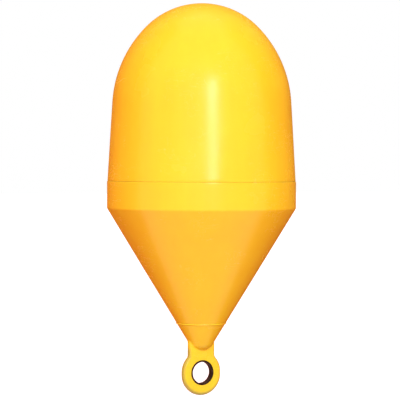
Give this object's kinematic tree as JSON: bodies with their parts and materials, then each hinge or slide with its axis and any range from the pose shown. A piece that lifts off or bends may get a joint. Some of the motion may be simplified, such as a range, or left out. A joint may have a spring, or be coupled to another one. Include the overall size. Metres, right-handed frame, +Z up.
{
  "type": "navigation buoy",
  "caption": "Moored marker buoy: domed cylindrical float on a long cone, with a moulded mooring eye and steel bush at its foot.",
  "frame": {"origin": "on the buoy's axis at the knuckle between the upright band and the cone, the design waterline of the moored buoy", "axes": "+Z up along the buoy's axis, towards the dome; the mooring eye's plate lies in the XZ plane and its bore runs along Y"},
  "size_m": [0.4, 0.4, 0.8292],
  "materials": {
    "shell_yellow": "moulded polyethylene, satin gloss",
    "eye_yellow": "moulded polyethylene, satin gloss",
    "bush_steel": "dark weathered steel, worn bright in the bore"
  },
  "bodies": {
    "root": {"upper_shell": "shell_yellow", "lower_shell": "shell_yellow", "mooring_eye": "eye_yellow", "eye_bush": "bush_steel", "filler_plug": "shell_yellow"}
  },
  "joints": []
}
